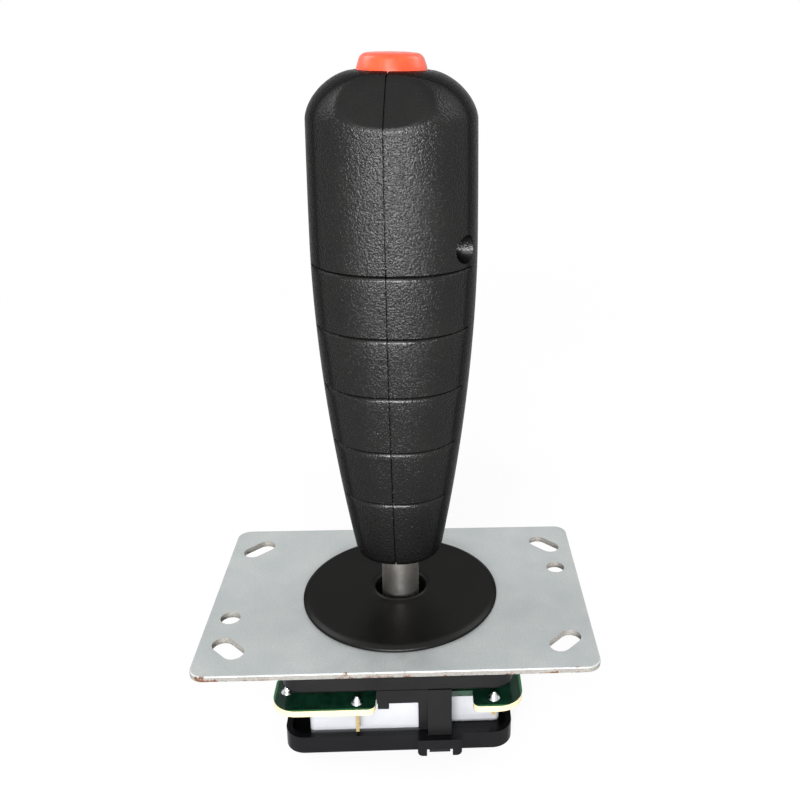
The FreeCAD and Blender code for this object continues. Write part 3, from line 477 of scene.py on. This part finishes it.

# %% [markdown]
# The circuit board is green lacquer over glass fibre. The lacquer is glossy and
# slightly wavy over the copper, and the outer edge, cut by a saw, shows the bare beige
# laminate, which a mask on the surface's own direction brings out. The notch's edges
# keep the dark lacquer colour as painted shade.

# %% Green board with a bare edge
board = Finish("green_board_lacquer", metallic=0.0, coat=0.5)
flat = board.worked(board.along((0, 0, 1)), 0.0, "ABSOLUTE")
spots_x, spots_y = separate(board).outputs[:2]
out_x = board.worked(spots_x, 0.0, "ABSOLUTE")
out_y = board.worked(spots_y, 0.0, "ABSOLUTE")
outward = board.worked(out_x, out_y, "MAXIMUM")
upright = board.spread(flat, 0.3, 0.7, 1.0, 0.0)
# painted shade: only the outer edges show laminate; the notch's edges keep the dark lacquer colour
outer_laminate_edge = board.worked(upright, board.spread(outward, 27.5 * MM, 28.5 * MM))
bare_rim = board.spread(outward, 29.7 * MM, 30.0 * MM)
copper_wave = board.cloud(4.0, 2.0)
lacquer = board.mixed(board.spread(copper_wave, 0.4, 0.6), screen_colour(10, 36, 26),
                      screen_colour(18, 52, 36))
lacquer = board.mixed(bare_rim, lacquer, screen_colour(62, 120, 80))
fibre = board.cloud(0.5, 3.0, board.stretched(1.0, 1.0, 5.0))
laminate = board.mixed(board.spread(fibre, 0.3, 0.7), screen_colour(190, 172, 128),
                       screen_colour(216, 202, 166))
board.colour(board.mixed(outer_laminate_edge, lacquer, laminate))
board.roughness(board.spread(outer_laminate_edge, 0.0, 1.0, 0.16, 0.7))
board.bump(copper_wave, 0.05, 0.3)
dress(board, "switch_board")

# %% [markdown]
# The small metal pieces differ mostly in colour and in how rough they are: drawn
# spring wire, turned and ground steel, tinned brass and solder that froze in shiny
# cones.

# %% Metals


def metal(name, dark, light, rough_low, rough_high, feature_mm, bump_mm, stretch=(1.0, 1.0, 1.0)):
    """A bare metal with cloudy tarnish and fine marks along one direction."""
    piece = Finish(name, metallic=1.0)
    along = piece.stretched(*stretch)
    marks = piece.cloud(feature_mm, 3.0, along)
    tarnish = piece.cloud(6.0, 4.0)
    tone = piece.spread(tarnish, 0.3, 0.7)
    piece.colour(piece.mixed(tone, screen_colour(*dark), screen_colour(*light)))
    piece.roughness(piece.spread(marks, 0.3, 0.7, rough_low, rough_high))
    piece.bump(marks, bump_mm, 0.3)
    return piece


lever_steel = metal("ground_lever_steel", (176, 172, 166), (206, 203, 197), 0.32, 0.42, 0.3, 0.001,
                    (0.2, 0.2, 1.0))
dress(lever_steel, "lever_shaft", "shaft_cross_pin", "trigger_pin")
screw_steel = metal("plated_screw_steel", (176, 178, 184), (206, 208, 214), 0.18, 0.34, 0.4, 0.006)
dress(screw_steel, "plate_screws", "grip_screws")
spring_steel = metal("drawn_spring_wire", (138, 138, 140), (180, 180, 182), 0.22, 0.38, 0.3, 0.006)
dress(spring_steel, "centring_spring", "top_button_spring", "retaining_clip")
tinned = metal("tinned_brass", (196, 170, 108), (222, 200, 150), 0.2, 0.4, 0.5, 0.006)
dress(tinned, "switch_terminals", "connector_pins", "grip_switch_terminals")
solder = metal("frozen_solder", (196, 198, 200), (226, 228, 230), 0.12, 0.34, 0.6, 0.03)
dress(solder, "solder_joints")

# %% [markdown]
# The base switches are pale grey moulded cases with a lid of the same plastic. Their
# plungers and the wire connector are white or cream plastics, smooth and a little
# waxy. The pivot ball and the collar are given the dark base plastic as painted
# shade, so the washer's hole looks dark and nothing pale shows through it.

# %% Pale plastics
case_skin = moulded("pale_switch_plastic", (156, 157, 161), (170, 171, 175), 0.35, 0.01, (0.4, 0.55))
dress(case_skin, "switch_case_front", "switch_case_right", "switch_case_back", "switch_case_left")
lid_skin = moulded("pale_lid_plastic", (150, 151, 156), (163, 164, 169), 0.35, 0.01, (0.42, 0.58))
dress(lid_skin, "switch_covers")
slide_skin = moulded("waxy_white_plastic", (214, 210, 200), (228, 225, 216), 0.5, 0.008, (0.3, 0.42))
# painted shade: the pivot ball and the collar take the dark base plastic, so the washer's hole looks dark
dress(body_skin, "pivot_ball", "spring_collar")
dress(slide_skin, "board_connector", "top_switch_plunger",
      "trigger_switch_plunger", "switch_plunger_front", "switch_plunger_right",
      "switch_plunger_back", "switch_plunger_left")

# %% [markdown]
# Turned pieces are all made one way. A ring of points is added at the profile's first
# place, drawn out ring by ring to the next ones, as a lathe tool would follow the
# outline, and closed where the outline meets itself or the axis. Chosen rings are
# then rounded with a bevel, because no real edge is sharp.

# %% Turned pieces


def clear_selection():
    """The loaded nodes stay selected until this is called, and an operator acts on all that is."""
    if bpy.context.object and bpy.context.object.mode != "OBJECT":
        bpy.ops.object.mode_set(mode="OBJECT")
    bpy.ops.object.select_all(action="DESELECT")


def hold(piece):
    """Selects one piece alone."""
    clear_selection()
    piece.select_set(True)
    bpy.context.view_layer.objects.active = piece


def apply_modifiers(piece):
    """Makes what a piece's modifiers show its own mesh."""
    hold(piece)
    for modifier in list(piece.modifiers):
        bpy.ops.object.modifier_apply(modifier=modifier.name)


def smooth(piece, degrees=38):
    """Shades a piece smooth wherever its faces meet at less than the angle."""
    hold(piece)
    bpy.ops.object.shade_smooth_by_angle(angle=math.radians(degrees))


def select_edges(piece, wanted):
    """In edit mode, selects the edges whose two ends both pass the test."""
    bpy.ops.object.mode_set(mode="OBJECT")
    mesh = piece.data
    for part in (mesh.vertices, mesh.polygons, mesh.edges):
        part.foreach_set("select", [False] * len(part))
    count = 0
    for edge in mesh.edges:
        if all(wanted(mesh.vertices[i].co / MM) for i in edge.vertices):
            edge.select = True
            count += 1
    bpy.ops.object.mode_set(mode="EDIT")
    return count


def select_faces(piece, wanted):
    """In edit mode, selects the faces whose centre and normal pass the test."""
    bpy.ops.object.mode_set(mode="OBJECT")
    mesh = piece.data
    for part in (mesh.vertices, mesh.edges, mesh.polygons):
        part.foreach_set("select", [False] * len(part))
    count = 0
    for face in mesh.polygons:
        if wanted(face.center / MM, face.normal):
            face.select = True
            count += 1
    bpy.ops.object.mode_set(mode="EDIT")
    bpy.ops.mesh.select_mode(type="FACE")
    return count


def turned(name, outline, rounded=(), sides=128):
    """A piece turned about the stick's axis. Outline and roundings are in millimetres."""
    clear_selection()
    radius, level = outline[0]
    bpy.ops.mesh.primitive_circle_add(vertices=sides, radius=radius * MM, location=(0, 0, 0))
    piece = bpy.context.object
    piece.name = piece.data.name = name
    piece.data.transform(Matrix.Translation((0, 0, level * MM)))
    bpy.ops.object.mode_set(mode="EDIT")
    bpy.ops.mesh.select_all(action="SELECT")
    for next_radius, next_level in outline[1:]:
        rise = {"value": (0, 0, (next_level - level) * MM)}
        bpy.ops.mesh.extrude_region_move(TRANSFORM_OT_translate=rise)
        if next_radius == 0:
            bpy.ops.mesh.merge(type="CENTER")
        elif next_radius != radius:
            share = next_radius / radius
            bpy.ops.transform.resize(value=(share, share, 1), center_override=(0, 0, next_level * MM))
        radius, level = next_radius, next_level
    bpy.ops.mesh.select_all(action="SELECT")
    bpy.ops.mesh.remove_doubles(threshold=0.002 * MM)
    bpy.ops.mesh.fill_holes(sides=0)
    bpy.ops.mesh.select_all(action="SELECT")
    bpy.ops.mesh.normals_make_consistent(inside=False)
    for ring_radius, ring_level, width in rounded:
        select_edges(piece, lambda p: abs(math.hypot(p.x, p.y) - ring_radius) < 0.02
                     and abs(p.z - ring_level) < 0.02)
        bpy.ops.mesh.select_mode(type="EDGE")
        bpy.ops.mesh.bevel(offset=width * MM, segments=6, profile=0.5, clamp_overlap=True)
    bpy.ops.object.mode_set(mode="OBJECT")
    smooth(piece)
    print(name, len(piece.data.polygons), "faces")
    return piece


# %% [markdown]
# The washer is a thin black disc with a rounded rim and a raised lip round its hole.
# The lever is ground steel where it shows, with a chamfered top that ends inside the
# grip. Both are turned pieces, and both stand for their CAD nodes, which keep the
# same sizes.

# %% Washer and lever
washer_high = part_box("dust_washer")[1]
washer_radius = washer_high.x / MM
lip_level = washer_high.z / MM
hole_radius = 6.6
rim_level, slope_radius, face_level = 0.7, washer_radius - 1.3, 1.5
flare_radius, flare_level = 8.5, 1.85
lip_foot_radius, lip_foot_level, lip_radius = 7.3, 2.15, 7.05
washer = turned(
    "dust_washer_turned",
    [(hole_radius, 0), (washer_radius, 0), (washer_radius, rim_level), (slope_radius, face_level),
     (flare_radius, flare_level), (lip_foot_radius, lip_foot_level), (lip_radius, lip_level),
     (hole_radius + 0.25, lip_level), (hole_radius, lip_foot_level), (hole_radius, 0)],
    [(washer_radius, rim_level, 0.25), (washer_radius, 0, 0.15), (slope_radius, face_level, 0.5),
     (flare_radius, flare_level, 0.5), (lip_foot_radius, lip_foot_level, 0.1), (lip_radius, lip_level, 0.08)],
)
washer.data.materials.append(washer_skin.material)
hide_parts("dust_washer")
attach(washer, "base")

lever_low, lever_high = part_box("lever_shaft")
lever_radius = lever_high.x / MM
stem_radius = 3.2
bore_radius = 1.7
lever_top = lever_high.z / MM
lever_end = lever_low.z / MM
ball_seat = -2.0
clip_top, clip_low, clip_radius = -21.9, -22.6, 2.6
end_chamfer, top_chamfer = 0.5, 0.8
lever = turned(
    "lever_turned",
    [(bore_radius, lever_end), (stem_radius - end_chamfer, lever_end), (stem_radius, lever_end + end_chamfer),
     (stem_radius, clip_low), (clip_radius, clip_low), (clip_radius, clip_top), (stem_radius, clip_top),
     (stem_radius, ball_seat), (lever_radius, ball_seat), (lever_radius, lever_top - top_chamfer),
     (lever_radius - top_chamfer, lever_top), (bore_radius, lever_top), (bore_radius, lever_end)],
    [(lever_radius, ball_seat, 0.25), (lever_radius, lever_top - top_chamfer, 0.2)],
    96,
)
lever.data.materials.append(lever_steel.material)
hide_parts("lever_shaft")
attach(lever, "lever")

# %% [markdown]
# The thumb button is a hollow cap. Its top is slightly crowned, its sides lean out
# towards the grip, and a flange under the grip's roof keeps it from falling out. A
# stem in the middle reaches down to the switch.

# %% Thumb button
button_low, button_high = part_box("top_button")
button_top = button_high.z / MM
button_base, flange_radius = 8.05, button_high.x / MM
button_rim = button_base - 1.15
flange_top, roof_level = 131.4, 134.1
flange_low = flange_top - 1.6
button_stem, stem_end = 1.9, button_low.z / MM + 0.06
cap_inside, cap_ceiling = 5.3, 136.0
rim_level = button_top - 0.42
button = turned(
    "top_button_turned",
    [(button_stem, stem_end), (button_stem, cap_ceiling), (cap_inside, cap_ceiling), (cap_inside, flange_low),
     (flange_radius, flange_low), (flange_radius, flange_top), (button_base, flange_top),
     (button_base, roof_level), (button_rim, rim_level), (4.0, button_top - 0.12), (0, button_top)],
    [(button_rim, rim_level, 1.2), (button_base, roof_level, 0.8), (flange_radius, flange_top, 0.2)],
)
button.data.materials.append(orange.material)
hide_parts("top_button")
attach(button, "button")

# %% [markdown]
# The grip is one form in two halves. Its section is a rounded square, written as a
# superellipse, that tapers towards the foot. A cylinder is cut into rings with
# bisect, and each ring is then drawn to its width and roundness, because no operator
# makes that section. The thumb facet is pressed flat in the same pass, and the seam
# and the grip lines are pressed in before the blank is hollowed and split.

# %% Grip measures
grip_low_z, grip_high_z = 14.0, 134.1
grip_half, widest_z = 19.5, 96.0
foot_less, taper_power, head_less = 8.8, 1.8, 0.35
foot_round = 2.2
shoulder_tall, shoulder_deep, shoulder_power = 10.5, 10.8, 1.7
squareness = 2.3
facet_level, facet_soft = 122.8, 0.5
wall = 2.4
line_levels = [33.6 + 14.5 * k for k in range(5)]
line_half, line_deep, seam_half = 0.24, 0.6, 0.18
lip_drop = ((0.24, 0.42), (0.5, 0.2), (0.8, 0.06), (1.2, 0.0))
line_end, line_fade = 8.2, 3.0
grip_points = 160
match = 0.02


def side_half(z):
    """The grip's half width on its long sides."""
    if z >= widest_z:
        return grip_half - head_less * ((z - widest_z) / (grip_high_z - widest_z)) ** 2
    return grip_half - foot_less * ((widest_z - z) / (widest_z - grip_low_z)) ** taper_power


def ring_half(z):
    """The half width with the shoulder's and the foot's rounding."""
    over = min(1.0, (z - grip_high_z + shoulder_tall) / shoulder_tall)
    under = (grip_low_z + foot_round - z) / foot_round
    less = 0.0
    if over > 0:
        less = shoulder_deep * (1 - (1 - over ** shoulder_power) ** (1 / shoulder_power))
    if under > 0:
        less = foot_round * (1 - math.sqrt(max(0.0, 1 - under * under)))
    return side_half(z) - less


def section_reach(angle, half):
    """How far the rounded-square section reaches in one direction."""
    spread = abs(math.cos(angle)) ** squareness + abs(math.sin(angle)) ** squareness
    return half / spread ** (1 / squareness)


def lip_less(z, y):
    """How much the skin falls back just under a grip line, in front and behind only."""
    fade = min(1.0, max(0.0, (abs(y) - line_end) / line_fade))
    for line in line_levels:
        for below, less in lip_drop:
            if abs(z - (line - below)) < match:
                return less * fade
    return 0.0


# %% Grip blank


facet_start = Vector((0, -ring_half(facet_level), facet_level))


def grip_blank(name, inset, levels):
    """The grip's form, or the same form drawn in by an inset, as one closed skin.

    Points beyond the facet's plane are moved back to it. Near the plane the move
    fades out, which rounds the facet's edge."""
    low, high = grip_low_z + inset, grip_high_z - inset
    clear_selection()
    bpy.ops.mesh.primitive_cylinder_add(vertices=grip_points, radius=grip_half * MM, depth=(high - low) * MM)
    blank = bpy.context.object
    blank.name = blank.data.name = name
    blank.data.transform(Matrix.Translation((0, 0, (high + low) / 2 * MM)))
    bpy.ops.object.mode_set(mode="EDIT")
    for z in sorted(levels):
        if low + 0.01 < z < high - 0.01:
            bpy.ops.mesh.select_all(action="SELECT")
            bpy.ops.mesh.bisect(plane_co=(0, 0, z * MM), plane_no=(0, 0, 1))
    bpy.ops.object.mode_set(mode="OBJECT")
    for point in blank.data.vertices:
        z = point.co.z / MM
        share = (z - low) / (high - low)
        form_z = grip_low_z + share * (grip_high_z - grip_low_z)
        angle = math.atan2(point.co.y, point.co.x)
        half = ring_half(form_z) - inset
        reach = section_reach(angle, half)
        if inset == 0:
            reach -= lip_less(z, reach * math.sin(angle))
        reach *= MM
        point.co.x, point.co.y = reach * math.cos(angle), reach * math.sin(angle)
        over = (point.co / MM - facet_start).dot(facet_normal) + inset
        if over > -facet_soft:
            less = over if over > facet_soft else (over + facet_soft) ** 2 / (4 * facet_soft)
            point.co -= facet_normal * less * MM
    hold(blank)
    bpy.ops.object.mode_set(mode="EDIT")
    bpy.ops.mesh.select_all(action="SELECT")
    bpy.ops.mesh.remove_doubles(threshold=match * MM)
    bpy.ops.object.mode_set(mode="OBJECT")
    return blank


ring_levels = [grip_low_z + foot_round * (1 - math.cos(math.radians(a))) for a in range(15, 91, 15)]
ring_levels += [grip_high_z - shoulder_tall * (1 - math.cos(math.radians(a))) for a in range(6, 91, 6)]
ring_levels += [grip_low_z + foot_round + 3.3 * k for k in range(1, 33)]
ring_levels += [facet_level - 1.2 + 0.27 * k for k in range(40)]
ring_levels = [z for z in ring_levels if all(not -2.2 < z - line < 1.1 for line in line_levels)]
for line in line_levels:
    ring_levels += [line - below for below, less in lip_drop] + [line + line_half]
grip = grip_blank("grip_outer", 0.0, ring_levels)
print("grip blank:", len(grip.data.vertices), "points")

# %% Seam and grip lines
hold(grip)
bpy.ops.object.mode_set(mode="EDIT")
for x in (-seam_half, seam_half):
    bpy.ops.mesh.select_all(action="SELECT")
    bpy.ops.mesh.bisect(plane_co=(x * MM, 0, 0), plane_no=(1, 0, 0))
for line in line_levels:
    found = select_faces(grip, lambda c, n: abs(c.z - line) < line_half and abs(c.y) > line_end
                         and abs(n.z) < 0.9)
    press = {"value": -line_deep * MM}
    bpy.ops.mesh.extrude_region_shrink_fatten(TRANSFORM_OT_shrink_fatten=press)
    bpy.ops.transform.resize(value=(1, 1, 0.35), center_override=(0, 0, line * MM))
    print("line at", line, "with", found, "faces")
found = select_faces(grip, lambda c, n: abs(c.x) < seam_half)
bpy.ops.mesh.extrude_region_shrink_fatten(TRANSFORM_OT_shrink_fatten={"value": -line_deep * MM})
bpy.ops.transform.resize(value=(0.4, 1, 1), center_override=(0, 0, 0))
bpy.ops.object.mode_set(mode="OBJECT")
print("seam with", found, "faces")

# %% [markdown]
# The halves are hollow. The same form, drawn in by the wall, is taken out of the blank.
# Bosses are added behind the screws, and the openings for the lever, the button, the
# trigger and the screws are cut. Each half is what a large block on its side of the
# seam has in common with the shell.

# %% Hollow, bosses and openings


def combine(piece, tool, operation, keep=False):
    """One boolean step. The tool is used up unless it is kept."""
    modifier = piece.modifiers.new("combine", "BOOLEAN")
    modifier.object = tool
    modifier.operation = operation
    modifier.solver = "MANIFOLD"
    apply_modifiers(piece)
    if not keep:
        bpy.data.objects.remove(tool)


def copy_of(piece, name):
    """A second piece with a mesh of its own."""
    twin = piece.copy()
    twin.data = piece.data.copy()
    twin.name = twin.data.name = name
    scene.collection.objects.link(twin)
    return twin


def block(x0, x1, y0, y1, z0, z1):
    """A box to cut with."""
    clear_selection()
    bpy.ops.mesh.primitive_cube_add(size=1)
    tool = bpy.context.object
    size = Matrix.Diagonal(((x1 - x0) * MM, (y1 - y0) * MM, (z1 - z0) * MM, 1))
    middle = Vector(((x0 + x1) / 2, (y0 + y1) / 2, (z0 + z1) / 2)) * MM
    tool.data.transform(Matrix.Translation(middle) @ size)
    return tool


def rod_along(axis, radius, start, end, a, b, points=48):
    """A round rod along x or z, to cut with or to add."""
    clear_selection()
    bpy.ops.mesh.primitive_cylinder_add(vertices=points, radius=radius * MM, depth=(end - start) * MM)
    tool = bpy.context.object
    middle = (start + end) / 2 * MM
    if axis == "x":
        lie = Matrix.Translation((middle, a * MM, b * MM)) @ Matrix.Rotation(math.pi / 2, 4, "Y")
    else:
        lie = Matrix.Translation((a * MM, b * MM, middle))
    tool.data.transform(lie)
    return tool


outer_form = copy_of(grip, "grip_form_kept")
plain_levels = [z for z in ring_levels if all(abs(z - line) > 1.5 for line in line_levels)]
combine(grip, grip_blank("grip_cavity", wall, plain_levels), "DIFFERENCE")
screw_places = [(-10.6, 96.0), (13.2, 124.6), (9.8, 70.0), (8.7, 27.0)]
recess_radius, boss_radius, head_tall, recess_deep = 3.25, 4.35, 2.0, 3.2
boss_floor, round_gap, out = 1.6, 0.3, 2 * grip_half
trigger_slot = (-4.8, 4.8, 9.3, 40, 93.3, 119.2)


def flank_reach(y, z):
    """How far the flank stands from the seam at a height and depth."""
    half = side_half(z)
    return half * (1 - (abs(y) / half) ** squareness) ** (1 / squareness)


for y, z in screw_places:
    seat = flank_reach(y, z) - recess_deep - head_tall
    boss = rod_along("x", boss_radius, seat - boss_floor, out, y, z)
    combine(boss, outer_form, "INTERSECT", keep=True)
    combine(grip, boss, "UNION")
    combine(grip, rod_along("x", recess_radius, seat, out, y, z), "DIFFERENCE")
bpy.data.objects.remove(outer_form)
ceiling = grip_high_z - wall
for radius, start, end, points in ((lever_radius + 0.02, 0, lever_top, 64),
                                   (flange_radius + round_gap, grip_high_z - 10, ceiling, 96),
                                   (button_base + round_gap, ceiling - 1, grip_high_z + 2, 96)):
    combine(grip, rod_along("z", radius, start, end, 0, 0, points), "DIFFERENCE")
combine(grip, block(*trigger_slot), "DIFFERENCE")
print("grip shell:", len(grip.data.polygons), "faces")

# %% Two halves
for side, name in ((-1, "grip_left"), (1, "grip_right")):
    half = copy_of(grip, name + "_moulded")
    x0, x1 = sorted((0.0, side * 40.0))
    combine(half, block(x0, x1, -40, 40, 0, 160), "INTERSECT")
    half.data.transform(Matrix.Rotation(grip_twist, 4, "Z"))
    half.data.materials.clear()
    half.data.materials.append(grip_skin.material)
    for face in half.data.polygons:
        face.material_index = 0
    smooth(half, 32)
    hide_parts(name)
    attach(half, "lever")
    print(half.name, len(half.data.polygons), "faces")
bpy.data.objects.remove(grip)

# %% [markdown]
# Four screws hold the halves together. Each is a turned pan head on a plain shank, with
# a cross cut into its top, and is laid on its side in its recess. The lowest one is
# shorter, because the grip is narrow there.

# %% Grip screws
screw_radius, head_radius, head_round = 1.4, 2.75, 0.7
cross_deep, cross_wide, cross_reach = 0.9, 0.7, 1.65
screw_longs = (16.0, 16.0, 16.0, 13.0)
screws = []
for (y, z), screw_long in zip(screw_places, screw_longs):
    screw = turned(
        f"grip_screw_{len(screws) + 1}",
        [(screw_radius - 0.5, -screw_long), (screw_radius, 0.8 - screw_long), (screw_radius, 0),
         (head_radius, 0), (head_radius, head_tall), (0, head_tall)],
        [(head_radius, head_tall, head_round)],
        48,
    )
    low, half_wide = head_tall - cross_deep, cross_wide / 2
    cross = block(-cross_reach, cross_reach, -half_wide, half_wide, low, head_tall + 1)
    other_bar = block(-half_wide, half_wide, -cross_reach, cross_reach, low - 0.1, head_tall + 2)
    combine(cross, other_bar, "UNION")
    combine(screw, cross, "DIFFERENCE")
    seat = flank_reach(y, z) - recess_deep - head_tall
    lie = Matrix.Translation((seat * MM, y * MM, z * MM)) @ Matrix.Rotation(math.pi / 2, 4, "Y")
    screw.data.transform(Matrix.Rotation(grip_twist, 4, "Z") @ lie)
    screw.data.materials.clear()
    screw.data.materials.append(screw_steel.material)
    for face in screw.data.polygons:
        face.material_index = 0
    screws.append(screw)
hold(screws[0])
for screw in screws:
    screw.select_set(True)
bpy.ops.object.join()
smooth(screws[0], 32)
screws[0].name = screws[0].data.name = "grip_screws_turned"
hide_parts("grip_screws")
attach(screws[0], "lever")
print("screws:", len(screws))
